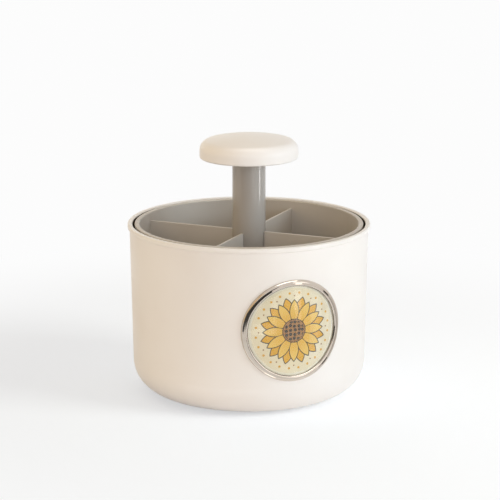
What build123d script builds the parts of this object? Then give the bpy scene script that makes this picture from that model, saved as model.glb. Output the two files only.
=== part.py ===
from build123d import *
from math import radians, tan
import os

# A rotating pen holder, in millimetres.
# A rounded cup stands on four rubber feet and has a round picture window on its front. A tray with four
# compartments turns inside the cup on a ball race, held down by a shoulder screw in the middle. A post rises
# from the tray and carries the mushroom knob that turns it.
# Z is up, the origin is on the desk under the middle of the cup, and the window faces -Y.

os.makedirs("parts", exist_ok=True)

# Cup
lip_radius = 80.2
lip_proud = 1.3
lip_height = 3.2
lip_edge = 0.9
cup_height = 112.8
cup_wall = 1.9
cup_floor = 2.2
cup_draft = 1.0
cup_round = 21.0

# Rubber feet
foot_count = 4
foot_radius = 6.0
foot_circle = 45.0
foot_proud = 1.0
foot_pocket = 0.8
foot_edge = 0.4
foot_clearance = 0.05

# Picture window
window_height = 59.2
picture_radius = 29.5
bezel_width = 3.9
bezel_proud = 2.2
bezel_outer_edge = 1.8
bezel_inner_edge = 1.2
lens_thickness = 1.4
lens_hidden_edge = 1.2
lens_raise = 0.7
lens_bevel_depth = 0.6
lens_bevel_width = 1.6
card_thickness = 0.3
window_recess = 0.8
window_clearance = 0.1
pin_count = 4
pin_radius = 0.7
pin_clearance = 0.05
stake_radius = 1.3
stake_height = 0.5

# Ball race between cup and tray
ball_count = 12
ball_radius = 2.5
ball_circle = 36.0
ball_clearance = 0.05
race_gap = 2.2
race_web = 1.0
race_border = 3.5
race_screw_inset = 9.0
race_screw_land = 4.0
plinth_height = 1.4
plinth_margin = 0.5
cage_thickness = 1.2
cage_border = 2.0
cage_clearance = 0.2

# Race screws
race_screw_count = 4
race_screw_radius = 1.1
race_screw_head = 2.1
screw_clearance = 0.05
screw_tip_gap = 0.3
blind_skin = 1.1
driver_slot = 0.5
driver_depth = 0.6

# Spindle that the tray turns on
shoulder_radius = 4.0
shoulder_clearance = 0.05
thread_radius = 2.5
spindle_head_radius = 6.0
spindle_head_height = 3.0
spindle_socket_radius = 2.4
spindle_socket_depth = 1.8
spindle_end_play = 0.3
washer_thickness = 1.0
washer_clearance = 0.5
bush_wall = 2.0
bush_flange_width = 0.8
bush_flange_height = 1.2
bush_clearance = 0.02
hub_wall = 2.4
hub_drop = 4.0
hub_clearance = 0.8
boss_radius = 8.5
boss_rib_count = 6
boss_rib_thickness = 1.4

# Tray
rim_gap = 1.5
rim_drop = 0.1
rim_height = 2.4
rim_overhang = 1.5
rim_edge = 0.8
tray_wall = 1.7
tray_floor = 2.0
tray_draft = 1.0
tray_round = 12.0
divider_count = 4
divider_thickness = 2.2
divider_draft = 0.15
divider_drop = 5.5
divider_edge = 0.4
divider_post_gap = 0.2

# Spigot of the tray, which the post plugs on to
spigot_height = 24.0
spigot_wall = 1.5
spigot_clearance = 0.08
key_count = 2
key_width = 2.4
key_depth = 0.8
key_clearance = 0.1

# Post
post_radius = 11.0
post_wall = 1.8
post_height = 142.9
post_end_wall = 2.5
post_nib_radius = 6.5

# Knob
knob_radius = 32.5
knob_height = 15.0
knob_dome_rise = 4.5
knob_shoulder = 6.8
knob_bottom_edge = 1.0
knob_wall = 2.2
knob_plate_recess = 1.0
knob_plate_thickness = 2.0
knob_plate_clearance = 0.1
knob_rib_count = 6
knob_rib_thickness = 1.2
knob_boss_radius = 4.5
knob_screw_radius = 1.5
knob_screw_head_radius = 3.0
knob_screw_head_height = 2.0
knob_washer_radius = 5.0
knob_washer_thickness = 0.6
knob_screw_roof = 1.5

# Heights, from the desk up
cup_bottom = foot_proud
cup_inside = cup_bottom + cup_floor
lip_top = cup_bottom + cup_height
lip_under = lip_top - lip_height
groove_radius = ball_radius + ball_clearance
race_thickness = groove_radius - race_gap / 2 + race_web
lower_race_bottom = cup_inside + plinth_height
lower_race_top = lower_race_bottom + race_thickness
ball_height = lower_race_top + race_gap / 2
upper_race_bottom = lower_race_top + race_gap
upper_race_top = upper_race_bottom + race_thickness
tray_bottom = upper_race_top + plinth_height
tray_inside = tray_bottom + tray_floor
hub_bottom = tray_bottom - hub_drop
boss_top = hub_bottom - hub_clearance
bush_top = tray_inside + bush_flange_height
washer_bottom = bush_top + spindle_end_play
washer_top = washer_bottom + washer_thickness
rim_top = lip_top - rim_drop
divider_top = rim_top - divider_drop
post_top = tray_inside + post_height
knob_bottom = post_top - knob_plate_recess
knob_plate_top = post_top + knob_plate_thickness
knob_top = knob_bottom + knob_height
knob_washer_top = post_top - post_end_wall
knob_washer_bottom = knob_washer_top - knob_washer_thickness

# Radii that follow from the sizes above
race_screw_circle = ball_circle - race_screw_inset
race_inner = race_screw_circle - race_screw_land
race_outer = ball_circle + ball_radius + race_border
bush_radius = shoulder_radius + shoulder_clearance + bush_wall
hub_radius = bush_radius + bush_clearance + hub_wall
post_bore = post_radius - post_wall
spigot_radius = post_bore - spigot_clearance
spigot_bore = spigot_radius - spigot_wall
lens_radius = picture_radius + lens_hidden_edge
recess_radius = lens_radius + window_clearance
bezel_radius = picture_radius + bezel_width
pin_circle = (recess_radius + bezel_radius) / 2
lens_back = card_thickness - window_recess
lens_front = lens_back + lens_thickness
knob_inner_radius = knob_radius - knob_wall


def cup_radius(z):
    """Outside radius of the cup's leaning wall at height z."""
    return lip_radius - lip_proud - (lip_under - z) * tan(radians(cup_draft))


rim_radius = cup_radius(lip_top) - cup_wall - rim_gap


def tray_radius(z):
    """Outside radius of the tray's leaning wall at height z."""
    return rim_radius - rim_overhang - (rim_top - z) * tan(radians(tray_draft))


def corner(section, radius, height):
    """The corner of a section that lies nearest to a radius and a height."""
    return section.vertices().sort_by_distance((radius, height))[0]


# Planes: the window's own, facing the front from the axis, and one that looks down from a height
window_plane = Plane(origin=(0, 0, window_height), x_dir=(1, 0, 0), z_dir=(0, -1, 0))
window_reach = lip_radius + bezel_proud


def plane_down(z):
    """A plane at height z that faces down."""
    return Plane(origin=(0, 0, z), x_dir=(1, 0, 0), z_dir=(0, 0, -1))


def wall_disc(radius, inner, outer):
    """A disc of the window that follows the cup's wall, between two offsets from its outside."""
    low = window_height - bezel_radius - bezel_width
    high = window_height + bezel_radius + bezel_width
    with BuildPart() as disc:
        with BuildSketch(Plane.XZ):
            with BuildLine():
                Polyline(
                    (cup_radius(low) + inner, low),
                    (cup_radius(low) + outer, low),
                    (cup_radius(high) + outer, high),
                    (cup_radius(high) + inner, high),
                    close=True,
                )
            make_face()
        revolve(axis=Axis.Z)
        with BuildSketch(window_plane):
            Circle(radius)
        extrude(amount=window_reach, mode=Mode.INTERSECT)
    return disc.part


def wall_pins(radius, inner, outer):
    """The window's four pins, between two offsets from the outside of the cup's wall."""
    with BuildPart() as pins:
        with BuildSketch(window_plane):
            with PolarLocations(pin_circle, pin_count, start_angle=180 / pin_count):
                Circle(radius)
        extrude(amount=window_reach)
        add(wall_disc(bezel_radius + bezel_width, inner, outer), mode=Mode.INTERSECT)
    return pins.part


def front_edges(piece):
    """The edges of a window piece's front face, from the shortest to the longest."""
    return piece.faces().sort_by(Axis.Y)[0].edges().sort_by(SortBy.LENGTH)


def countersunk_screw(length):
    """A countersunk screw with its head's face at the origin and its shank along -Z."""
    with BuildPart() as screw:
        with BuildSketch(Plane.XZ):
            with BuildLine():
                Polyline(
                    (0, 0),
                    (race_screw_head, 0),
                    (race_screw_radius, race_screw_radius - race_screw_head),
                    (race_screw_radius, race_screw_radius - length),
                    (0, -length),
                    close=True,
                )
            make_face()
        revolve(axis=Axis.Z)
        with BuildSketch():
            Rectangle(race_screw_head, driver_slot)
            Rectangle(driver_slot, race_screw_head)
        extrude(amount=-driver_depth, mode=Mode.SUBTRACT)
    return screw.part


def race_ring(bottom, screw_plane):
    """One half of the ball race: a flat ring with a round groove and countersunk screw holes."""
    with BuildPart() as ring:
        with BuildSketch(Plane.XY.offset(bottom)):
            Circle(race_outer)
            Circle(race_inner, mode=Mode.SUBTRACT)
        extrude(amount=race_thickness)
        with BuildSketch(Plane.XZ):
            with Locations((ball_circle, ball_height)):
                Circle(groove_radius)
        revolve(axis=Axis.Z, mode=Mode.SUBTRACT)
        with Locations(screw_plane):
            with PolarLocations(race_screw_circle, race_screw_count):
                CounterSinkHole(
                    radius=race_screw_radius + screw_clearance,
                    counter_sink_radius=race_screw_head + screw_clearance,
                    counter_sink_angle=90,
                )
    return ring.part


# Cup: a turned shell with a rolled lip, a boss for the spindle and a plinth for the race
with BuildPart() as outer_shell:
    with BuildSketch(Plane.XZ) as cup_section:
        with BuildLine():
            Polyline(
                (0, cup_bottom),
                (cup_radius(cup_bottom), cup_bottom),
                (cup_radius(lip_under), lip_under),
                (lip_radius, lip_under),
                (lip_radius, lip_top),
                (cup_radius(lip_top) - cup_wall, lip_top),
                (cup_radius(cup_inside) - cup_wall, cup_inside),
                (0, cup_inside),
                close=True,
            )
        make_face()
        fillet(corner(cup_section, cup_radius(cup_bottom), cup_bottom), cup_round)
        fillet(corner(cup_section, cup_radius(cup_inside) - cup_wall, cup_inside), cup_round - cup_wall)
        fillet(corner(cup_section, lip_radius, lip_under), lip_edge)
        fillet(corner(cup_section, lip_radius, lip_top), lip_edge)
        fillet(corner(cup_section, cup_radius(lip_top) - cup_wall, lip_top), lip_edge)
    revolve(axis=Axis.Z)
    with BuildSketch(Plane.XY.offset(cup_inside)):
        Circle(race_outer + plinth_margin)
        Circle(race_inner - plinth_margin, mode=Mode.SUBTRACT)
    extrude(amount=plinth_height)
    with BuildSketch(Plane.XY.offset(cup_inside)):
        Circle(boss_radius)
    extrude(amount=boss_top - cup_inside)
    with BuildSketch(Plane.XY.offset(cup_inside)):
        with PolarLocations(race_inner / 2, boss_rib_count):
            Rectangle(race_inner, boss_rib_thickness)
    extrude(amount=plinth_height)
    with Locations(Plane.XY.offset(boss_top)):
        Hole(thread_radius + screw_clearance, depth=boss_top - cup_bottom - blind_skin)
    with Locations(Plane.XY.offset(lower_race_bottom)):
        with PolarLocations(race_screw_circle, race_screw_count):
            Hole(race_screw_radius + screw_clearance, depth=lower_race_bottom - cup_bottom - blind_skin)
    with Locations(plane_down(cup_bottom)):
        with PolarLocations(foot_circle, foot_count, start_angle=180 / foot_count):
            Hole(foot_radius + foot_clearance, depth=foot_pocket)
    add(wall_disc(recess_radius, -window_recess, bezel_proud), mode=Mode.SUBTRACT)
    add(wall_pins(pin_radius + pin_clearance, -2 * cup_wall, bezel_proud), mode=Mode.SUBTRACT)

# Rubber feet, sunk in pockets of the cup
with BuildPart() as rubber_feet:
    with BuildSketch(plane_down(cup_bottom + foot_pocket)):
        with PolarLocations(foot_circle, foot_count, start_angle=180 / foot_count):
            Circle(foot_radius)
    extrude(amount=foot_pocket + foot_proud)
    fillet(rubber_feet.edges().group_by(Axis.Z)[0], foot_edge)

# Picture window: card, lens and bezel, all cut from bands that follow the cup's wall
with BuildPart() as picture_card:
    add(wall_disc(lens_radius, -window_recess, lens_back))

with BuildPart() as window_lens:
    add(wall_disc(lens_radius, lens_back, lens_front))
    add(wall_disc(picture_radius - window_clearance, lens_back, lens_front + lens_raise))
    lens_face = window_lens.faces().sort_by(Axis.Y)[0]
    chamfer(lens_face.edges(), lens_bevel_width, lens_bevel_depth, reference=lens_face)

with BuildPart() as window_bezel:
    add(wall_disc(bezel_radius, 0, bezel_proud))
    with BuildSketch(window_plane):
        Circle(picture_radius)
    extrude(amount=window_reach, mode=Mode.SUBTRACT)
    fillet(front_edges(window_bezel)[-1], bezel_outer_edge)
    fillet(front_edges(window_bezel)[0], bezel_inner_edge)
    add(wall_disc(recess_radius, 0, lens_front), mode=Mode.SUBTRACT)
    add(wall_pins(pin_radius, -cup_wall, 0))
    add(wall_pins(stake_radius, -cup_wall - stake_height, -cup_wall))

# Ball race: two grooved rings, a cage and the balls
with BuildPart() as lower_race:
    add(race_ring(lower_race_bottom, Plane.XY.offset(lower_race_top)))

with BuildPart() as upper_race:
    add(race_ring(upper_race_bottom, plane_down(upper_race_bottom)))

with BuildPart() as ball_cage:
    with BuildSketch(Plane.XY.offset(ball_height - cage_thickness / 2)):
        Circle(ball_circle + ball_radius + cage_border)
        Circle(ball_circle - ball_radius - cage_border, mode=Mode.SUBTRACT)
        with PolarLocations(ball_circle, ball_count):
            Circle(ball_radius + cage_clearance, mode=Mode.SUBTRACT)
    extrude(amount=cage_thickness)

with BuildPart() as bearing_balls:
    with Locations((0, 0, ball_height)):
        with PolarLocations(ball_circle, ball_count):
            Sphere(ball_radius)

lower_screw = countersunk_screw(lower_race_top - cup_bottom - blind_skin - screw_tip_gap)
with BuildPart() as lower_race_screws:
    with Locations(Plane.XY.offset(lower_race_top)):
        with PolarLocations(race_screw_circle, race_screw_count):
            add(lower_screw)

upper_screw = countersunk_screw(tray_inside - blind_skin - screw_tip_gap - upper_race_bottom)
with BuildPart() as upper_race_screws:
    with Locations(plane_down(upper_race_bottom)):
        with PolarLocations(race_screw_circle, race_screw_count):
            add(upper_screw)

# Spindle: a shoulder screw in the cup's boss, with a washer over the bush of the tray
with BuildPart() as spindle_screw:
    with BuildSketch(Plane.XZ):
        with BuildLine():
            Polyline(
                (0, cup_bottom + blind_skin + screw_tip_gap),
                (thread_radius, cup_bottom + blind_skin + screw_tip_gap),
                (thread_radius, boss_top),
                (shoulder_radius, boss_top),
                (shoulder_radius, washer_top),
                (spindle_head_radius, washer_top),
                (spindle_head_radius, washer_top + spindle_head_height),
                (0, washer_top + spindle_head_height),
                close=True,
            )
        make_face()
    revolve(axis=Axis.Z)
    with BuildSketch(Plane.XY.offset(washer_top + spindle_head_height)):
        RegularPolygon(spindle_socket_radius, 6)
    extrude(amount=-spindle_socket_depth, mode=Mode.SUBTRACT)

with BuildPart() as spindle_washer:
    with BuildSketch(Plane.XY.offset(washer_bottom)):
        Circle(spigot_bore - washer_clearance)
        Circle(shoulder_radius + shoulder_clearance, mode=Mode.SUBTRACT)
    extrude(amount=washer_thickness)

with BuildPart() as spindle_bush:
    with BuildSketch(Plane.XY.offset(hub_bottom)):
        Circle(bush_radius)
    extrude(amount=tray_inside - hub_bottom)
    with BuildSketch(Plane.XY.offset(tray_inside)):
        Circle(bush_radius + bush_flange_width)
    extrude(amount=bush_flange_height)
    with Locations(Plane.XY.offset(bush_top)):
        Hole(shoulder_radius + shoulder_clearance)

# Compartments of the tray: its turned hollow, less the dividers that stay between them
with BuildPart() as compartments:
    with BuildSketch(Plane.XZ) as hollow_section:
        with BuildLine():
            Polyline(
                (0, tray_inside),
                (tray_radius(tray_inside) - tray_wall, tray_inside),
                (tray_radius(rim_top) - tray_wall, rim_top),
                (0, rim_top),
                close=True,
            )
        make_face()
        fillet(corner(hollow_section, tray_radius(tray_inside) - tray_wall, tray_inside), tray_round - tray_wall)
    revolve(axis=Axis.Z)
    divider_start = post_radius + divider_post_gap
    with BuildSketch(Plane.XY.offset(tray_inside)):
        with PolarLocations(0, divider_count, start_angle=180 / divider_count):
            with Locations(((divider_start + rim_radius) / 2, 0)):
                Rectangle(rim_radius - divider_start, divider_thickness)
    extrude(amount=divider_top - tray_inside, taper=divider_draft, mode=Mode.SUBTRACT)

# Tray: a turned cup with a rim, a plinth for the race, a hub for the bush and a keyed spigot for the post
with BuildPart() as inner_tray:
    with BuildSketch(Plane.XZ) as tray_section:
        with BuildLine():
            Polyline(
                (0, tray_bottom),
                (tray_radius(tray_bottom), tray_bottom),
                (tray_radius(rim_top - rim_height), rim_top - rim_height),
                (rim_radius, rim_top - rim_height),
                (rim_radius, rim_top),
                (0, rim_top),
                close=True,
            )
        make_face()
        fillet(corner(tray_section, tray_radius(tray_bottom), tray_bottom), tray_round)
        fillet(corner(tray_section, rim_radius, rim_top), rim_edge)
    revolve(axis=Axis.Z)
    add(compartments.part, mode=Mode.SUBTRACT)
    with BuildSketch(plane_down(tray_bottom)):
        Circle(race_outer + plinth_margin)
        Circle(race_inner - plinth_margin, mode=Mode.SUBTRACT)
    extrude(amount=plinth_height)
    with BuildSketch(plane_down(tray_bottom)):
        Circle(hub_radius)
    extrude(amount=hub_drop)
    with BuildSketch(Plane.XY.offset(tray_inside)):
        Circle(spigot_radius)
        with PolarLocations(spigot_radius, key_count):
            Rectangle(2 * key_depth, key_width)
        Circle(spigot_bore, mode=Mode.SUBTRACT)
    extrude(amount=spigot_height)
    with Locations(Plane.XY.offset(tray_inside)):
        Hole(bush_radius + bush_clearance)
    with Locations(plane_down(upper_race_top)):
        with PolarLocations(race_screw_circle, race_screw_count):
            Hole(race_screw_radius + screw_clearance, depth=tray_inside - blind_skin - upper_race_top)
    fillet(inner_tray.edges().group_by(Axis.Z)[-1], rim_edge)
    divider_crests = inner_tray.edges().filter_by(GeomType.LINE).filter_by_position(
        Axis.Z, divider_top - divider_edge, divider_top + divider_edge
    )
    fillet(divider_crests, divider_edge)

# Post: a tube that plugs on to the tray's spigot and ends in a nib that centres the knob
with BuildPart() as post:
    with BuildSketch(Plane.XZ):
        with BuildLine():
            Polyline(
                (post_bore, tray_inside),
                (post_radius, tray_inside),
                (post_radius, post_top),
                (post_nib_radius, post_top),
                (post_nib_radius, knob_plate_top),
                (knob_screw_radius + screw_clearance, knob_plate_top),
                (knob_screw_radius + screw_clearance, knob_washer_top),
                (post_bore, knob_washer_top),
                close=True,
            )
        make_face()
    revolve(axis=Axis.Z)
    with BuildSketch(Plane.XY.offset(tray_inside)):
        with PolarLocations(spigot_radius, key_count):
            Rectangle(2 * (key_depth + key_clearance), key_width + 2 * key_clearance)
    extrude(amount=spigot_height + key_clearance, mode=Mode.SUBTRACT)

# Knob: an underplate and a domed shell with ribs, pulled together on the post by one screw
with BuildPart() as knob_underplate:
    with BuildSketch(Plane.XY.offset(post_top)):
        Circle(knob_inner_radius - knob_plate_clearance)
        Circle(post_nib_radius + knob_plate_clearance, mode=Mode.SUBTRACT)
    extrude(amount=knob_plate_thickness)


def knob_solid(radius, bottom, top, shoulder):
    """The knob's mushroom form between two heights: an upright side, a round shoulder and a dome."""
    with BuildPart() as form:
        with BuildSketch(Plane.XZ) as section:
            with BuildLine():
                dome = TangentArc((0, top), (radius, top - knob_dome_rise), tangent=(1, 0))
                Polyline(dome @ 1, (radius, bottom), (0, bottom), dome @ 0)
            make_face()
            fillet(corner(section, radius, top - knob_dome_rise), shoulder)
        revolve(axis=Axis.Z)
    return form.part


with BuildPart() as knob_hollow:
    add(knob_solid(knob_inner_radius, knob_bottom, knob_top - knob_wall, knob_shoulder - knob_wall))
    with BuildSketch(Plane.XY.offset(knob_plate_top)):
        Circle(knob_boss_radius)
        with PolarLocations(knob_radius / 2, knob_rib_count):
            Rectangle(knob_radius, knob_rib_thickness)
    extrude(amount=knob_top - knob_plate_top, mode=Mode.SUBTRACT)

knob_screw_end = knob_top - knob_wall - knob_screw_roof
with BuildPart() as knob_dome:
    add(knob_solid(knob_radius, knob_bottom, knob_top, knob_shoulder))
    fillet(knob_dome.edges().group_by(Axis.Z)[0], knob_bottom_edge)
    add(knob_hollow.part, mode=Mode.SUBTRACT)
    with Locations(plane_down(knob_plate_top)):
        Hole(knob_screw_radius + screw_clearance, depth=knob_screw_end - knob_plate_top)

with BuildPart() as knob_washer:
    with BuildSketch(Plane.XY.offset(knob_washer_bottom)):
        Circle(knob_washer_radius)
        Circle(knob_screw_radius + screw_clearance, mode=Mode.SUBTRACT)
    extrude(amount=knob_washer_thickness)

with BuildPart() as knob_screw:
    with BuildSketch(Plane.XY.offset(knob_washer_bottom)):
        Circle(knob_screw_radius)
    extrude(amount=knob_screw_end - screw_tip_gap - knob_washer_bottom)
    with BuildSketch(plane_down(knob_washer_bottom)):
        Circle(knob_screw_head_radius)
    extrude(amount=knob_screw_head_height)

pieces = {
    "outer_shell": outer_shell,
    "rubber_feet": rubber_feet,
    "window_bezel": window_bezel,
    "window_lens": window_lens,
    "picture_card": picture_card,
    "lower_race": lower_race,
    "lower_race_screws": lower_race_screws,
    "ball_cage": ball_cage,
    "bearing_balls": bearing_balls,
    "upper_race": upper_race,
    "upper_race_screws": upper_race_screws,
    "spindle_screw": spindle_screw,
    "spindle_washer": spindle_washer,
    "spindle_bush": spindle_bush,
    "inner_tray": inner_tray,
    "post": post,
    "knob_underplate": knob_underplate,
    "knob_dome": knob_dome,
    "knob_washer": knob_washer,
    "knob_screw": knob_screw,
}
for name, piece in pieces.items():
    piece.part.label = name
    export_step(piece.part, f"parts/{name}.step")
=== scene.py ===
# %% [markdown]
# # A rotating pen holder
# A cream cup with a round picture window on its front, a divided tray that turns inside it, and a grey
# post with a mushroom knob. The CAD solids already have the right shapes and sit where they belong, so
# this lesson is mostly about finishes: what each surface is made of, and how shader nodes can say so.

# %% The frame
import math
import bpy
import numpy as np
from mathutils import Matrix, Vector


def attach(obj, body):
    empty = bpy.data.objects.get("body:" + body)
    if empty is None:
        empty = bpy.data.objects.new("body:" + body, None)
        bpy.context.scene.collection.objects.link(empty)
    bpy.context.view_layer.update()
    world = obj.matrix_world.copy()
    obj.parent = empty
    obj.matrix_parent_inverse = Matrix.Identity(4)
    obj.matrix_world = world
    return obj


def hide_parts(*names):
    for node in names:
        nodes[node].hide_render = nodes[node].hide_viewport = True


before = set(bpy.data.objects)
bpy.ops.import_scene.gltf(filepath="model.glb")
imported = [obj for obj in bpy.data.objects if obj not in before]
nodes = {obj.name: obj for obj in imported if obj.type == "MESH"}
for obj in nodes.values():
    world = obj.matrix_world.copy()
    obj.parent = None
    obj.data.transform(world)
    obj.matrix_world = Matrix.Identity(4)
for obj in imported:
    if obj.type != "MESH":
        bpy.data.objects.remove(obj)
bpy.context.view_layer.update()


# %% [markdown]
# ## The camera
# The picture was taken with a long lens from a little above the rim, so the ellipses of the rim and the
# foot look almost alike. Focal length, height and turn were found by fitting those ellipses. A camera
# could also be placed by eye, but a fitted one lets every edge be compared with the picture, pixel for
# pixel.

# %% Camera
PICTURE_SIDE = 500
FOCAL_PIXELS = 2184.85
SENSOR = 36.0
CAMERA_PLACE = Vector((-0.51671, -1.31175, 0.43192))
CAMERA_TARGET = Vector((0.0, 0.0, 0.09437))
FRAMING_SHIFT = 0.0021

camera = bpy.data.objects.new("camera", bpy.data.cameras.new("camera"))
bpy.context.collection.objects.link(camera)
camera.data.sensor_width = SENSOR
camera.data.lens = FOCAL_PIXELS * SENSOR / PICTURE_SIDE
camera.data.shift_x = FRAMING_SHIFT
camera.location = CAMERA_PLACE
camera.rotation_euler = (CAMERA_TARGET - CAMERA_PLACE).to_track_quat("-Z", "Y").to_euler()
bpy.context.scene.camera = camera
bpy.context.scene.view_settings.view_transform = "Standard"
camera_distance = (CAMERA_TARGET - CAMERA_PLACE).length
print(f"camera {camera_distance:.3f} m away, lens {camera.data.lens:.1f} mm")

# %% [markdown]
# ## Sockets that do arithmetic
# Shader nodes can be wired by hand, one Math node at a time, but a formula is far easier to read as a
# line of Python. This class wraps an output socket: adding, subtracting or multiplying two of them adds
# the Math node that does it. One more method adds any other node, so every finish below is a few lines of
# plain formulas.

# %% Wires
class Wire:
    """An output socket that takes part in Python arithmetic. Each operation adds one Math node."""

    def __init__(self, tree, socket):
        self.tree = tree
        self.socket = socket

    def node(self, kind, settings, sockets, output=0):
        """Any node: its type, its settings, the values or wires of its sockets, and the output wanted."""
        made = self.tree.nodes.new(kind)
        for name, value in settings.items():
            setattr(made, name, value)
        for key, value in sockets.items():
            if isinstance(value, Wire):
                self.tree.links.new(value.socket, made.inputs[key])
            else:
                made.inputs[key].default_value = value
        return Wire(self.tree, made.outputs[output])

    def other(self, output):
        """Another output of the node that this wire comes from."""
        return Wire(self.tree, self.socket.node.outputs[output])

    def math(self, operation, *values):
        """A Math node: the name of its operation, then its values as wires or plain numbers."""
        return self.node("ShaderNodeMath", {"operation": operation}, dict(enumerate(values)))

    def __add__(self, value):
        return self.math("ADD", self, value)

    __radd__ = __add__

    def __sub__(self, value):
        return self.math("SUBTRACT", self, value)

    def __rsub__(self, value):
        return self.math("SUBTRACT", value, self)

    def __mul__(self, value):
        return self.math("MULTIPLY", self, value)

    __rmul__ = __mul__

    def hypot(self, value):
        """The length of a flat vector with this wire and another as its two sides."""
        return self.math("SQRT", self * self + value * value)

    def smooth(self, low, high):
        """An S-shaped rise from 0 at low to 1 at high, or a fall where low is the larger number."""
        sockets = {"Value": self, "From Min": low, "From Max": high}
        return self.node("ShaderNodeMapRange", {"interpolation_type": "SMOOTHSTEP"}, sockets)

    def noise(self, scale, detail=2.0):
        """Cloudy noise on this vector, about 0.5 on average, with scale cells to a metre."""
        return self.node("ShaderNodeTexNoise", {}, {"Vector": self, "Scale": scale, "Detail": detail})

    def stretch(self, scale):
        """This vector with its three directions stretched or squeezed apart."""
        return self.node("ShaderNodeVectorMath", {"operation": "MULTIPLY"}, {0: self, 1: scale})

    def blend(self, first, second):
        """The first colour where this wire is 0 and the second where it is 1."""
        return self.node("ShaderNodeMix", {"data_type": "RGBA"}, {0: self, 6: first, 7: second}, 2)

    def between(self, first, second):
        """The first shader where this wire is 0 and the second where it is 1."""
        return self.node("ShaderNodeMixShader", {}, {0: self, 1: first, 2: second})


print("a wire can", [name for name in vars(Wire) if not name.startswith("_")])

# %% [markdown]
# Four helpers serve every finish: one turns screen colours into the linear values that shaders work with,
# one starts a material, one fills the sockets of its main shader, and one puts another shader in that
# one's place. Colours could be written as linear values at once, but screen colours are easier to judge.

# %% Helpers for finishes
def tint(red, green, blue):
    """A colour given as it looks on a screen, 0 to 255, made linear by the sRGB formula."""
    seen = np.array([red, green, blue]) / 255
    linear = np.where(seen <= 0.04045, seen / 12.92, ((seen + 0.055) / 1.055) ** 2.4)
    return (*linear.tolist(), 1.0)


def start_finish(name):
    """A new material, its main shader and a wire with the surface's own object coordinates."""
    material = bpy.data.materials.new(name)
    material.use_nodes = True
    tree = material.node_tree
    place = Wire(tree, tree.nodes.new("ShaderNodeTexCoord").outputs["Object"])
    return material, tree.nodes["Principled BSDF"], place


def plug(shader, **sockets):
    """Join wires, or set plain values, on the shader's sockets. Words in a name are joined by _."""
    for name, value in sockets.items():
        socket = shader.inputs[name.replace("_", " ")]
        if isinstance(value, Wire):
            value.tree.links.new(value.socket, socket)
        else:
            socket.default_value = value


def show(surface):
    """Let the shader that this wire carries be the surface of its material."""
    output = surface.tree.nodes["Material Output"]
    surface.tree.links.new(surface.socket, output.inputs["Surface"])


print("tint of middle grey", [round(value, 3) for value in tint(128, 128, 128)])

# %% [markdown]
# ## The floor
# The holder stands on white paper that looks endless. It has to come out almost white and still show a
# soft shadow. More light would whiten it, but would bleach the cup as well. So the paper takes light and
# shadow near the holder, with a glow of its own on top, and fades into one plain white further out. Only
# rays from the camera, mirrors and lenses see that. Rays that carry soft light meet plain paper, so the
# glow lights nothing. From below the paper is clear, so that the holder can be looked at from there too.

# %% Floor panel
FLOOR_SIDE = 14.0
FLOOR_HEIGHT = -0.0002


def new_object(name, points, faces):
    """A mesh object at the origin, made of points and of the faces that number them."""
    mesh = bpy.data.meshes.new(name)
    mesh.from_pydata(points, [], faces)
    made = bpy.data.objects.new(name, mesh)
    bpy.context.collection.objects.link(made)
    return made


def level_corners(left, right, near, far, height):
    """The corners of a level rectangle, in order round it."""
    return [(left, near, height), (right, near, height), (right, far, height), (left, far, height)]


def flat_panel(name, corners):
    """A panel of one face between four corners."""
    panel = new_object(name, corners, [(0, 1, 2, 3)])
    return panel


half = FLOOR_SIDE / 2
floor = flat_panel("floor", level_corners(-half, half, -half, half, FLOOR_HEIGHT))
print("floor", FLOOR_SIDE, "m wide")

# %% Floor finish
SHADOW_NEAR = 0.16
SHADOW_FAR = 0.42
FLOOR_WHITE = 0.975
FLOOR_GLOW = 0.56
FLOOR_TINT = (0.456, 0.517, 0.60, 1.0)
FLOOR_BOUNCE = (0.89, 0.88, 0.93, 1.0)
WHITE = (1.0, 1.0, 1.0, 1.0)


def seen_directly(wire):
    """1 for rays from the camera, mirrors and lenses, 0 for the rays that only carry soft light."""
    path = wire.node("ShaderNodeLightPath", {}, {}, "Is Camera Ray")
    mirrored = path.math("MAXIMUM", path, path.other("Is Glossy Ray"))
    return path.math("MAXIMUM", mirrored, path.other("Is Transmission Ray"))


floor_finish, _, place = start_finish("floor_sweep")
reach = place.node("ShaderNodeVectorMath", {"operation": "LENGTH"}, {0: place}, "Value")
paper = place.node("ShaderNodeBsdfDiffuse", {}, {"Color": FLOOR_TINT})
bounce = place.node("ShaderNodeBsdfDiffuse", {}, {"Color": FLOOR_BOUNCE})
paper_glow = place.node("ShaderNodeEmission", {}, {"Color": WHITE, "Strength": FLOOR_GLOW})
plain_white = place.node("ShaderNodeEmission", {}, {"Color": WHITE, "Strength": FLOOR_WHITE})
near_paper = place.node("ShaderNodeAddShader", {}, {0: paper, 1: paper_glow})
sweep = reach.smooth(SHADOW_NEAR, SHADOW_FAR).between(near_paper, plain_white)
from_above = seen_directly(place).between(bounce, sweep)
from_below = place.node("ShaderNodeBsdfTransparent", {}, {})
underside = place.node("ShaderNodeNewGeometry", {}, {}, "Backfacing")
show(underside.between(from_above, from_below))
floor.data.materials.append(floor_finish)
print("floor plain white beyond", SHADOW_FAR, "m")

# %% [markdown]
# ## The room
# Soft light comes from all round: dim and reddish at eye level, stronger and yellower overhead, where it
# gives the top of the knob its warm tone. A picture of a real room could light the scene, but for such
# plain surfaces a blend of two colours by height is enough. What is seen directly, in metal or through
# the lens is plain white, so the white behind the holder is no light on it.

# %% World
ROOM_LEVEL = (0.32, 0.21, 0.20, 1.0)
ROOM_ABOVE = (0.68, 0.60, 0.495, 1.0)
LEVEL_UP_TO = 0.1
ABOVE_FROM = 0.9

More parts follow.
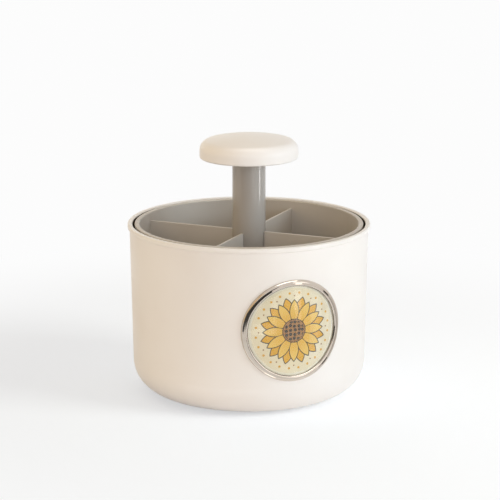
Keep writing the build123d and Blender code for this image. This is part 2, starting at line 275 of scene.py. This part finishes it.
world = bpy.data.worlds.new("studio")
world.use_nodes = True
bpy.context.scene.world = world
background = world.node_tree.nodes["Background"]
sky = Wire(world.node_tree, world.node_tree.nodes.new("ShaderNodeTexCoord").outputs["Generated"])
overhead = sky.node("ShaderNodeSeparateXYZ", {}, {0: sky}, "Z")
room = overhead.smooth(LEVEL_UP_TO, ABOVE_FROM).blend(ROOM_LEVEL, ROOM_ABOVE)
plug(background, Color=seen_directly(sky).blend(room, WHITE))
print("room", ROOM_LEVEL[:3], "at eye level and", ROOM_ABOVE[:3], "above")

# %% [markdown]
# ## The lamps
# A large cool lamp low on the right makes the bright side, a second one fills the front, and a third
# lights the far side. They could light the floor as well, but then its shadow would change with every
# change to the cup. Light linking keeps all three off the floor and gives the floor a lamp of its own,
# whose soft shadow falls to the left. The three don't show in reflections either: the panels further on
# take that over.

# %% Soft lamps
LIGHT_TARGET = Vector((0.0, 0.0, 0.07))
CAMERA_TURN = math.atan2(CAMERA_PLACE.x, -CAMERA_PLACE.y)


def around(turn, rise, distance):
    """A point round the object: turn degrees from the camera to its right, and rise degrees up."""
    angle = CAMERA_TURN + math.radians(turn)
    level = distance * math.cos(math.radians(rise))
    height = distance * math.sin(math.radians(rise))
    return LIGHT_TARGET + Vector((level * math.sin(angle), -level * math.cos(angle), height))


def soft_lamp(name, turn, rise, distance, width, height, power, colour):
    """A rectangular lamp that faces the object and isn't seen by the camera itself."""
    lamp = bpy.data.objects.new(name, bpy.data.lights.new(name, "AREA"))
    bpy.context.collection.objects.link(lamp)
    lamp.data.shape = "RECTANGLE"
    lamp.data.size = width
    lamp.data.size_y = height
    lamp.data.energy = power
    lamp.data.color = colour
    lamp.location = around(turn, rise, distance)
    lamp.rotation_euler = (LIGHT_TARGET - lamp.location).to_track_quat("-Z", "Y").to_euler()
    lamp.visible_camera = False
    return lamp


key_lamp = soft_lamp("key_softbox", turn=70, rise=9, distance=1.5, width=1.0, height=0.8,
                     power=11.5, colour=(0.67, 0.865, 1.0))
front_lamp = soft_lamp("front_softbox", turn=5, rise=12, distance=1.8, width=1.2, height=1.0,
                       power=8.8, colour=(0.87, 0.93, 1.0))
back_lamp = soft_lamp("back_softbox", turn=195, rise=6, distance=1.8, width=1.2, height=1.0,
                      power=17.0, colour=(0.80, 0.92, 1.0))
shadow_lamp = soft_lamp("shadow_softbox", turn=67, rise=22, distance=1.5, width=0.6, height=0.6,
                        power=16.0, colour=(1.0, 0.94, 0.80))
print("lamps", [lamp.name for lamp in (key_lamp, front_lamp, back_lamp, shadow_lamp)])

# %% What each lamp lights
floor_only = bpy.data.collections.new("floor_only")
floor_only.objects.link(floor)
shadow_lamp.light_linking.receiver_collection = floor_only
all_but_floor = bpy.data.collections.new("all_but_floor")
all_but_floor.objects.link(floor)
all_but_floor.collection_objects[0].light_linking.link_state = "EXCLUDE"
for lamp in (key_lamp, front_lamp, back_lamp):
    lamp.visible_glossy = False
    lamp.light_linking.receiver_collection = all_but_floor
print("the floor's own lamp is", shadow_lamp.name)

# %% [markdown]
# ## The warm card
# On the left the cream is deeper and warmer, as beside a warm wall. A tall card with a plain glow stands
# there, bent round the holder. A lamp could do this too, but it is flat, and the bent card shades the
# round cup more evenly. It leaves the floor out as the lamps do.

# %% Warm card
ARC_STEPS = 24


def light_up(panel, glow, clear=False):
    """Give a panel a plain glow, hidden from the camera. A clear one adds it to what lies behind."""
    finish, _, place = start_finish(panel.name)
    lit = place.node("ShaderNodeEmission", {}, {"Color": glow, "Strength": 1.0})
    if clear:
        behind = place.node("ShaderNodeBsdfTransparent", {}, {})
        lit = place.node("ShaderNodeAddShader", {}, {0: behind, 1: lit})
    show(lit)
    panel.data.materials.append(finish)
    panel.visible_camera = False


def curved_card(name, first, last, distance, bottom, top, glow, clear=False):
    """A glowing card in an arc round the object, between two turns in degrees and two heights.
    Its points are two equal rows on a circle, one above the other, joined by one strip of faces."""
    angles = np.radians(np.linspace(first, last, ARC_STEPS + 1)) + CAMERA_TURN
    arc = np.stack([np.sin(angles), -np.cos(angles)], axis=1) * distance
    points = np.concatenate([np.c_[arc, np.full(ARC_STEPS + 1, height)] for height in (bottom, top)])
    low = np.arange(ARC_STEPS)
    high = low + ARC_STEPS + 1
    faces = np.stack([low, low + 1, high + 1, high], axis=1)
    card = new_object(name, points.tolist(), faces.tolist())
    light_up(card, glow, clear)
    return card


warm_card = curved_card("warm_card", first=-125, last=-35, distance=2.2, bottom=0.0, top=2.4,
                        glow=(0.98, 0.756, 0.456, 1.0))
warm_card.light_linking.receiver_collection = all_but_floor
print("warm card of", len(warm_card.data.polygons), "faces")

# %% [markdown]
# ## What the shiny parts see
# Chrome, the lens and the glossy post are only as convincing as what they mirror. In the picture the
# chrome shows a dark room on the camera's side, a bright softbox beside it and a light ceiling, so each
# of these gets a panel that is seen in reflections alone. The panels could light the scene as well, but
# then every change to a highlight would also change the shading.

# %% Panels in the reflections
def grey(level):
    """A colour without tint, of one linear level."""
    return (level, level, level, 1.0)


def only_mirrored(panel):
    """Let a panel show in reflections alone: it lights nothing and throws no shadow."""
    panel.visible_diffuse = False
    panel.visible_shadow = False


# Each row: name, first and last turn, distance, bottom, top and level
mirrored_cards = (
    # the dark arc at the ring's upper left
    ("dark_room", -58, 18.5, 0.28, 0.0, 0.118, 0.07),
    # the greyer right side of the ring
    ("dark_flag", 54, 78, 0.17, 0.0, 0.05, 0.70),
    # the two dark marks on that side
    ("dark_strip", 56.5, 61.5, 0.165, 0.0, 0.07, 0.15),
    # a faint light on the ring's lower left and on the foot
    ("floor_glint", -42, 8, 0.10, 0.0, 0.012, 1.9),
    # the light at the ring's upper right and round its lower edge
    ("bright_softbox", 38, 60, 0.90, 0.06, 0.55, 1.9),
    # the light band on the upper half of the lens
    ("lens_glint", 38, 44, 0.30, 0.0, 0.055, 2.2),
)
for name, first, last, distance, bottom, top, level in mirrored_cards:
    only_mirrored(curved_card(name, first, last, distance, bottom, top, grey(level)))
print("mirrored cards", len(mirrored_cards))

# %% [markdown]
# Some highlights belong to one piece alone: a narrow one on the post, and a white patch and a fainter one
# low on the chrome ring. An ordinary panel for them would show in every shiny piece. These are clear, so
# they hide nothing behind them, and light linking shows the glow that they add to one piece only.

# %% Glows for one piece
PATCH_HEIGHT = 0.001


def only_mirrored_in(panel, piece):
    """Let a clear panel's glow show in the reflections of one piece alone, by light linking."""
    only_mirrored(panel)
    receivers = bpy.data.collections.new(panel.name + "_receivers")
    receivers.objects.link(piece)
    panel.light_linking.receiver_collection = receivers


def floor_patch(name, first, last, near, far, level):
    """A clear glowing patch just above the floor, between two turns and two distances from the axis."""
    turns = np.radians([first, last, last, first]) + CAMERA_TURN
    reaches = np.array([near, near, far, far])
    heights = np.full(4, PATCH_HEIGHT)
    corners = np.stack([reaches * np.sin(turns), -reaches * np.cos(turns), heights], axis=1)
    patch = flat_panel(name, corners.tolist())
    light_up(patch, grey(level), clear=True)
    return patch


post_glint = curved_card("post_glint", first=76, last=82, distance=0.45, bottom=0.030, top=0.085,
                         glow=grey(11.0), clear=True)
ring_glint = floor_patch("ring_glint", first=1, last=12, near=0.083, far=0.116, level=1.25)
ring_lift = floor_patch("ring_lift", first=12, last=50, near=0.083, far=0.13, level=0.18)
only_mirrored_in(post_glint, nodes["post"])
only_mirrored_in(ring_glint, nodes["window_bezel"])
only_mirrored_in(ring_lift, nodes["window_bezel"])
print("glows for one piece", [panel.name for panel in (post_glint, ring_glint, ring_lift)])

# %% [markdown]
# The light ceiling is a level panel, bright enough to make the white patch at the very top of the ring.

# %% Ceiling
CEILING_HEIGHT = 1.1
CEILING_LEVEL = 4.0
ceiling_corners = level_corners(left=-0.3, right=0.5, near=-0.5, far=0.3, height=CEILING_HEIGHT)
ceiling = flat_panel("ceiling_softbox", ceiling_corners)
light_up(ceiling, grey(CEILING_LEVEL))
only_mirrored(ceiling)
print("ceiling", CEILING_HEIGHT, "m up")

# %% [markdown]
# ## Moulded plastic
# Cup, tray, post and knob are injection moulded, and so are the bush, the rings and cage of the ball
# race, and the rubber feet. Up close such plastic is never one flat colour: the pigment is slightly
# cloudy, the mould leaves a very fine grain that breaks up the highlights, and hands leave patches with a
# different gloss. All three are noise of different sizes, on the object's own coordinates, so that
# nothing slides when the tray turns.

# %% Plastic
CLOUD_SCALE = 28.0
CLOUD_SHARE = 0.75
SPECK_SCALE = 2600.0
SMUDGE_SCALE = 46.0
NOISE_MIDDLE = 0.5
BUMP_DEPTH = 0.0002
# painted shade: a dark colour for the cup's inner wall, standing in for the shade down the slit
PAINTED_SLIT_SHADE = tint(74, 66, 58)


def moulded_plastic(name, colour, deep, roughness, patches, grain, grain_size, level, inside=None):
    """Pigment clouds between two close colours, gloss that changes by patches, and a fine grain as bump.
    Where the optional mask is 1, a dark painted shade takes the pigment's place."""
    material, shader, place = start_finish(name)
    clouds = place.noise(CLOUD_SCALE, detail=3.0).smooth(low=0.25, high=0.75)
    specks = place.noise(SPECK_SCALE, detail=1.0)
    smudges = place.noise(SMUDGE_SCALE, detail=4.0)
    mould = place.noise(1.0 / grain_size)
    pigment = (clouds * CLOUD_SHARE + specks * (1 - CLOUD_SHARE)).blend(deep, colour)
    # painted shade in place of the pigment, where the mask is 1
    if inside:
        pigment = inside(place).blend(pigment, PAINTED_SLIT_SHADE)
    bump = place.node("ShaderNodeBump", {}, {"Strength": grain, "Distance": BUMP_DEPTH, "Height": mould})
    plug(shader, Base_Color=pigment, Roughness=roughness + (smudges - NOISE_MIDDLE) * patches,
         Normal=bump, Specular_IOR_Level=level)
    return material


knob_finish = moulded_plastic(
    "knob_cream_satin", colour=tint(247, 245, 241), deep=tint(244, 241, 235), roughness=0.34, patches=0.18,
    grain=0.08, grain_size=0.0006, level=0.40)
tray_finish = moulded_plastic(
    "tray_greige", colour=tint(203, 197, 187), deep=tint(196, 189, 178), roughness=0.46, patches=0.22,
    grain=0.16, grain_size=0.0005, level=0.45)
post_finish = moulded_plastic(
    "post_grey", colour=tint(175, 170, 162), deep=tint(171, 165, 157), roughness=0.13, patches=0.06,
    grain=0.02, grain_size=0.0006, level=0.50)
race_finish = moulded_plastic(
    "race_white", colour=tint(238, 238, 234), deep=tint(232, 231, 226), roughness=0.40, patches=0.22,
    grain=0.06, grain_size=0.0005, level=0.50)
foot_finish = moulded_plastic(
    "foot_rubber", colour=tint(50, 50, 51), deep=tint(41, 41, 42), roughness=0.72, patches=0.22,
    grain=0.30, grain_size=0.0004, level=0.30)
print("plastics", [made.name for made in (knob_finish, tray_finish, post_finish, race_finish, foot_finish)])

# %% [markdown]
# The cup is the same plastic with one difference. The slit between cup and tray is almost black in the
# picture, but in a render light still finds its way down a pale slit. So the cup's inner wall, which is
# seen only there, gets painted shade: a dark colour in place of the cream, standing in for the shade
# down the slit. A second CAD piece could carry it, but a mask is enough: how deep a point lies in the
# drafted wall, and how high, says whether it is on the inside.

# %% Cup
WALL_UNDER_LIP = 0.0789
LIP_UNDER = 0.1106
CUP_DRAFT = math.tan(math.radians(1.0))
INNER_FROM = 0.0010
INNER_FULL = 0.0016
LIP_FROM = 0.1132
LIP_FULL = 0.1126
BOTTOM_FROM = 0.030
BOTTOM_FULL = 0.036


def slit_shade_mask(place):
    """1 on the cup's inner wall, for painted shade: most of a wall deep, below the lip, above the floor."""
    x = place.node("ShaderNodeSeparateXYZ", {}, {0: place}, "X")
    y = x.other("Y")
    z = x.other("Z")
    depth = WALL_UNDER_LIP - (LIP_UNDER - z) * CUP_DRAFT - x.hypot(y)
    upright = z.smooth(LIP_FROM, LIP_FULL) * z.smooth(BOTTOM_FROM, BOTTOM_FULL)
    return depth.smooth(INNER_FROM, INNER_FULL) * upright


# the cup's inner wall gets the painted shade
cup_finish = moulded_plastic(
    "cup_cream_gloss", colour=tint(244, 242, 237), deep=tint(241, 238, 232), roughness=0.36, patches=0.22,
    grain=0.05, grain_size=0.0007, level=0.40, inside=slit_shade_mask)
print("cup nodes", len(cup_finish.node_tree.nodes))

# %% [markdown]
# ## Metal
# The window's ring is polished chrome plate, and the screws, washers and balls inside are plain steel.
# Metal has little colour besides its reflections, so what matters is how sharp they are. Chrome gets a
# low roughness with faint level wiping marks. Steel gets a higher one with stronger marks.

# %% Chrome and steel
MARK_STRETCH = (1.0, 1.0, 9.0)
MARK_SCALE = 90.0
TONE_SCALE = 60.0
RIPPLE_SCALE = 220.0


def bright_metal(name, colour, deep, roughness, marks, ripple):
    """Metal whose gloss varies along fine marks, with a slight ripple in the reflections."""
    material, shader, place = start_finish(name)
    wiped = place.stretch(MARK_STRETCH).noise(MARK_SCALE, detail=4.0).smooth(low=0.35, high=0.75)
    tone = place.noise(TONE_SCALE).smooth(low=0.3, high=0.7)
    wave = place.noise(RIPPLE_SCALE, detail=1.0)
    bump = place.node("ShaderNodeBump", {}, {"Strength": ripple, "Distance": BUMP_DEPTH, "Height": wave})
    plug(shader, Base_Color=tone.blend(deep, colour), Metallic=1.0, Roughness=roughness + wiped * marks,
         Normal=bump)
    return material


chrome_finish = bright_metal("bezel_chrome", colour=tint(206, 195, 183), deep=tint(200, 188, 175),
                             roughness=0.05, marks=0.05, ripple=0.05)
steel_finish = bright_metal("plain_steel", colour=tint(205, 204, 202), deep=tint(194, 193, 191),
                            roughness=0.24, marks=0.14, ripple=0.05)
print("metals", chrome_finish.name, steel_finish.name)

# %% [markdown]
# ## The lens
# A clear acrylic disc, bent to the cup's curve, covers the picture. A glass shader alone would leave the
# card behind it dark, because lamps can't shine straight through glass in a path tracer. Mixing in a
# transparent shader for shadow rays only lets their light in, and leaves reflections and refraction as
# they are.

# %% Clear acrylic
ACRYLIC_INDEX = 1.49
ACRYLIC_TINTS = (tint(252, 252, 250), tint(250, 250, 247))
TINT_SCALE = 40.0
LIGHT_THROUGH = (0.95, 0.95, 0.94, 1.0)
STREAK_STRETCH = (1.0, 1.0, 0.4)
STREAK_SCALE = 120.0
STREAK_HAZE = 0.05

lens_finish, shader, place = start_finish("clear_lens")
streaks = place.stretch(STREAK_STRETCH).noise(STREAK_SCALE, detail=4.0).smooth(low=0.45, high=0.85)
plug(shader, Base_Color=place.noise(TINT_SCALE).blend(*ACRYLIC_TINTS), Transmission_Weight=1.0,
     IOR=ACRYLIC_INDEX, Roughness=streaks * STREAK_HAZE)
acrylic = Wire(place.tree, shader.outputs[0])
shadow_ray = place.node("ShaderNodeLightPath", {}, {}, "Is Shadow Ray")
let_in = place.node("ShaderNodeBsdfTransparent", {}, {"Color": LIGHT_THROUGH})
show(shadow_ray.between(acrylic, let_in))
print("lens index", ACRYLIC_INDEX)

# %% [markdown]
# ## The picture card
# Behind the lens sits a printed card. Its design here is a plain sunflower in golden, amber and brown on
# cream, with thin dark outlines. An image texture could hold it, but a formula stays sharp at any
# distance: distances in millimetres, measured along the bent card, decide which ink lies at each point.

# %% Places on the card
MM_PER_METRE = 1000
WINDOW_HEIGHT = 59.2
WALL_RADIUS = 78.0

card_print, shader, place = start_finish("printed_sunflower")
x = place.node("ShaderNodeSeparateXYZ", {}, {0: place}, "X")
across = x.math("ARCSINE", x * (MM_PER_METRE / WALL_RADIUS)) * WALL_RADIUS
up = x.other("Z") * MM_PER_METRE - WINDOW_HEIGHT
spread = across.hypot(up)
turn = across.math("ARCTAN2", up, across)
print("the window's middle is", WINDOW_HEIGHT, "mm up, on a wall of radius", WALL_RADIUS, "mm")

# %% Shapes on the card
PETALS = 12
INK_EDGE = 0.10
LINE = 0.28


def filled(distance):
    """1 inside a shape whose signed distance in millimetres is given, with a crisp, softened edge."""
    return distance.smooth(INK_EDGE, -INK_EDGE)


def outline(distance):
    """1 on a thin drawn line along a shape's edge."""
    return filled(distance.math("ABSOLUTE", distance) - LINE)


def repeated(count, offset):
    """Local coordinates in one of count equal sectors: along its middle line and across it."""
    step = 2 * math.pi / count
    local = turn.math("WRAP", turn + offset * step, step / 2, -step / 2)
    return spread * local.math("COSINE", local), spread * local.math("SINE", local)


def petals(offset, middle, long, wide):
    """Signed distance to a ring of pointed petals, each the overlap of two equal circles.
    A circle's radius follows from the petal's half length and half width."""
    along, side = repeated(PETALS, offset)
    bow = (long * long + wide * wide) / (2 * wide)
    out = along - middle
    off = side.math("ABSOLUTE", side) + (bow - wide)
    return out.hypot(off) - bow


def dots(count, offset, ring, size):
    """Signed distance to a ring of round dots."""
    along, side = repeated(count, offset)
    out = along - ring
    return out.hypot(side) - size


back_petals = petals(offset=0.5, middle=14.6, long=7.6, wide=3.3)
front_petals = petals(offset=0.0, middle=12.6, long=7.8, wide=3.1)
large_dots = dots(count=24, offset=0.5, ring=24.9, size=0.8)
small_dots = dots(count=12, offset=0.0, ring=23.0, size=0.5)
print("petals", 2 * PETALS, "in two rings")

# %% [markdown]
# Ink lies in layers, as in screen printing: each layer has a mask and a colour, and covers the layers
# below it.

# %% Printed sunflower
CREAM = tint(233, 216, 184)
CREAM_SHADE = tint(228, 209, 175)
CREAM_SCALE = 70.0
GOLD = tint(232, 190, 92)
GOLD_DEEP = tint(224, 172, 62)
AMBER = tint(222, 164, 34)
BROWN = tint(164, 116, 62)
DARK = tint(58, 40, 26)
MARGIN = tint(238, 225, 202)
PICTURE_EDGE = 27.9
HEART_RADIUS = 7.6
SEED_RIM = 0.9
SEED_SCALE = 0.36
SEED_SCATTER = 0.3

heart = spread - HEART_RADIUS
flat = across.node("ShaderNodeCombineXYZ", {}, {0: across, 1: up})
seeds = flat.node("ShaderNodeTexVoronoi", {"voronoi_dimensions": "2D"},
                  {"Vector": flat, "Scale": SEED_SCALE, "Randomness": SEED_SCATTER})
gold = spread.smooth(low=8.0, high=19.0).blend(GOLD_DEEP, GOLD)
layers = (
    (filled(large_dots), AMBER),
    (filled(small_dots), BROWN),
    (filled(PICTURE_EDGE - spread), MARGIN),
    (filled(back_petals), AMBER),
    (outline(back_petals), DARK),
    (filled(front_petals), gold),
    (outline(front_petals), DARK),
    (filled(heart), BROWN),
    (filled(heart + SEED_RIM) * seeds.smooth(low=0.44, high=0.34), DARK),
    (outline(heart), DARK),
)
ink = place.noise(CREAM_SCALE).smooth(low=0.3, high=0.7).blend(CREAM, CREAM_SHADE)
for mask, colour in layers:
    ink = mask.blend(ink, colour)
print("layers of ink", len(layers))

# %% Card paper
PAPER_SCALE = 900.0
PAPER_ROUGHNESS = 0.5
PAPER_PATCHES = 0.15
PAPER_SPECULAR = 0.3
PAPER_BUMP = 0.08
PAPER_DEPTH = 0.0001

fibres = place.noise(PAPER_SCALE, detail=3.0)
fibre_bump = place.node("ShaderNodeBump", {},
                        {"Strength": PAPER_BUMP, "Distance": PAPER_DEPTH, "Height": fibres})
plug(shader, Base_Color=ink, Roughness=PAPER_ROUGHNESS + fibres * PAPER_PATCHES, Normal=fibre_bump,
     Specular_IOR_Level=PAPER_SPECULAR)
print("print nodes", len(card_print.node_tree.nodes))

# %% [markdown]
# The CAD card touches the lens exactly, and two surfaces in one place flicker in a render. The card shown
# is therefore a thin disc of its own, a hair behind the lens. Its outline is a profile of radius and
# depth, turned round the window's axis and bent on to the cup's drafted wall, worked out as whole arrays.

# %% Discs on the wall
DISC_STEPS = 160
SHARP_DEGREES = 40


def on_the_wall(sideways, upwards, depth):
    """Points bent round the cup. Arc length sideways over the wall's radius is the angle round the axis.
    The radius there grows with the height, by the cup's draft, and with the depth out of the wall."""
    radius = WALL_RADIUS + upwards * CUP_DRAFT + depth
    angle = sideways / WALL_RADIUS
    places = np.stack([radius * np.sin(angle), -radius * np.cos(angle), WINDOW_HEIGHT + upwards], axis=-1)
    return places / MM_PER_METRE


def wall_disc(name, radii, depths):
    """A closed disc: the profile's points, given by radius and depth, are carried round the window's axis,
    with one point more at each pole."""
    angles = np.linspace(0, 2 * np.pi, DISC_STEPS, endpoint=False)
    radius, angle = np.meshgrid(radii, angles, indexing="ij")
    depth = np.broadcast_to(np.asarray(depths)[:, None], radius.shape)
    rings = on_the_wall(radius * np.cos(angle), radius * np.sin(angle), depth)
    poles = on_the_wall(np.zeros(2), np.zeros(2), np.array([depths[0], depths[-1]]))
    points = np.concatenate([rings.reshape(-1, 3), poles])

    ring, step = np.meshgrid(np.arange(len(radii) - 1), np.arange(DISC_STEPS), indexing="ij")
    here = ring * DISC_STEPS + step
    beside = ring * DISC_STEPS + (step + 1) % DISC_STEPS
    quads = np.stack([here, here + DISC_STEPS, beside + DISC_STEPS, beside], axis=-1).reshape(-1, 4)

    first = np.arange(DISC_STEPS)
    following = (first + 1) % DISC_STEPS
    last_ring = (len(radii) - 1) * DISC_STEPS
    front_pole = np.full(DISC_STEPS, len(radii) * DISC_STEPS)
    front = np.stack([front_pole, first, following], axis=1)
    back = np.stack([front_pole + 1, last_ring + following, last_ring + first], axis=1)
    disc = new_object(name, points.tolist(), quads.tolist() + front.tolist() + back.tolist())
    disc.data.shade_smooth()
    disc.data.set_sharp_from_angle(angle=math.radians(SHARP_DEGREES))
    return disc


print("discs have", DISC_STEPS, "steps round")

# %% Card disc
CARD_FRONT = -0.56
CARD_BACK = -0.78
CARD_RADIUS = 30.6
CARD_RINGS = 24
POLE_RADIUS = 0.6

card_radii = np.concatenate([np.linspace(POLE_RADIUS, CARD_RADIUS, CARD_RINGS),
                             np.linspace(CARD_RADIUS, POLE_RADIUS, CARD_RINGS)])
card_depths = np.repeat([CARD_FRONT, CARD_BACK], CARD_RINGS)
printed_disc = wall_disc("printed_disc", card_radii, card_depths)
printed_disc.data.materials.append(card_print)
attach(printed_disc, "base")
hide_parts("picture_card")

# %% [markdown]
# The lens over it is slightly domed and has a polished bevel round its edge, as a cast acrylic cover
# does. A flat bent disc would mirror only the floor here. It is the dome and the bevel that catch the
# lights, bend the view of the card's margin into a bright band, and make the window read as clear
# plastic.

# %% Domed lens
LENS_BACK = -0.5
LENS_EDGE = 0.7
LENS_RADIUS = 30.65
BEVEL_OUTER = 29.45
BEVEL_INNER = 27.7
BEVEL_TOP = 1.55
LENS_RISE = 0.45
LENS_RINGS = 28

dome_radii = np.linspace(POLE_RADIUS, BEVEL_INNER, LENS_RINGS)
dome_depths = BEVEL_TOP + LENS_RISE * (1 - (dome_radii / BEVEL_INNER) ** 2)
edge_radii = np.array([BEVEL_OUTER, LENS_RADIUS])
edge_depths = np.array([LENS_EDGE, LENS_EDGE])
back_radii = np.linspace(LENS_RADIUS, POLE_RADIUS, LENS_RINGS)
back_depths = np.full(LENS_RINGS, LENS_BACK)
lens_radii = np.concatenate([dome_radii, edge_radii, back_radii])
lens_depths = np.concatenate([dome_depths, edge_depths, back_depths])
domed_lens = wall_disc("domed_lens", lens_radii, lens_depths)
domed_lens.data.materials.append(lens_finish)
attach(domed_lens, "base")
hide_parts("window_lens")
print("lens rises", LENS_RISE, "mm,", len(domed_lens.data.polygons), "faces")

# %% [markdown]
# In the picture a cool veil lies over the right half of the lens: it mirrors a window or a pale wall
# there. A clear panel with a faint blue glow adds that veil, for the lens alone, so the chrome beside it
# keeps its dark marks. A second, neutral one stands before the dark room, which is meant for the chrome,
# and keeps the left of the lens from darkening with it.

# %% Veil on the lens
VEIL_GLOW = (0.15, 0.25, 0.50, 1.0)
FILL_LEVEL = 0.75
veil = curved_card("lens_veil", first=45, last=88, distance=0.15, bottom=0.0, top=0.07,
                   glow=VEIL_GLOW, clear=True)
fill = curved_card("lens_fill", first=-30, last=21, distance=0.26, bottom=0.0, top=0.08,
                   glow=grey(FILL_LEVEL), clear=True)
only_mirrored_in(veil, domed_lens)
only_mirrored_in(fill, domed_lens)
print("veil glows", VEIL_GLOW[:3], "and fill", FILL_LEVEL)

# %% [markdown]
# ## Dressing the CAD pieces
# Every other piece keeps its CAD shape, which is finely divided and smooth, and only changes its finish.
# The pieces inside get theirs too, because the holder can be taken apart.

# %% Finishes by piece
finishes = {
    "outer_shell": cup_finish,
    "knob_dome": knob_finish,
    "knob_underplate": knob_finish,
    "inner_tray": tray_finish,
    "post": post_finish,
    "window_bezel": chrome_finish,
    "window_lens": lens_finish,
    "picture_card": card_print,
    "rubber_feet": foot_finish,
    "lower_race": race_finish,
    "upper_race": race_finish,
    "ball_cage": race_finish,
    "spindle_bush": race_finish,
    "bearing_balls": steel_finish,
    "lower_race_screws": steel_finish,
    "upper_race_screws": steel_finish,
    "spindle_screw": steel_finish,
    "spindle_washer": steel_finish,
    "knob_washer": steel_finish,
    "knob_screw": steel_finish,
}
for name, finish in finishes.items():
    for material_slot in nodes[name].material_slots:
        material_slot.material = finish
print("dressed", len(finishes), "of", len(nodes), "nodes")

# %% [markdown]
# ## The size
# Finishes and thin discs must not make the holder larger.
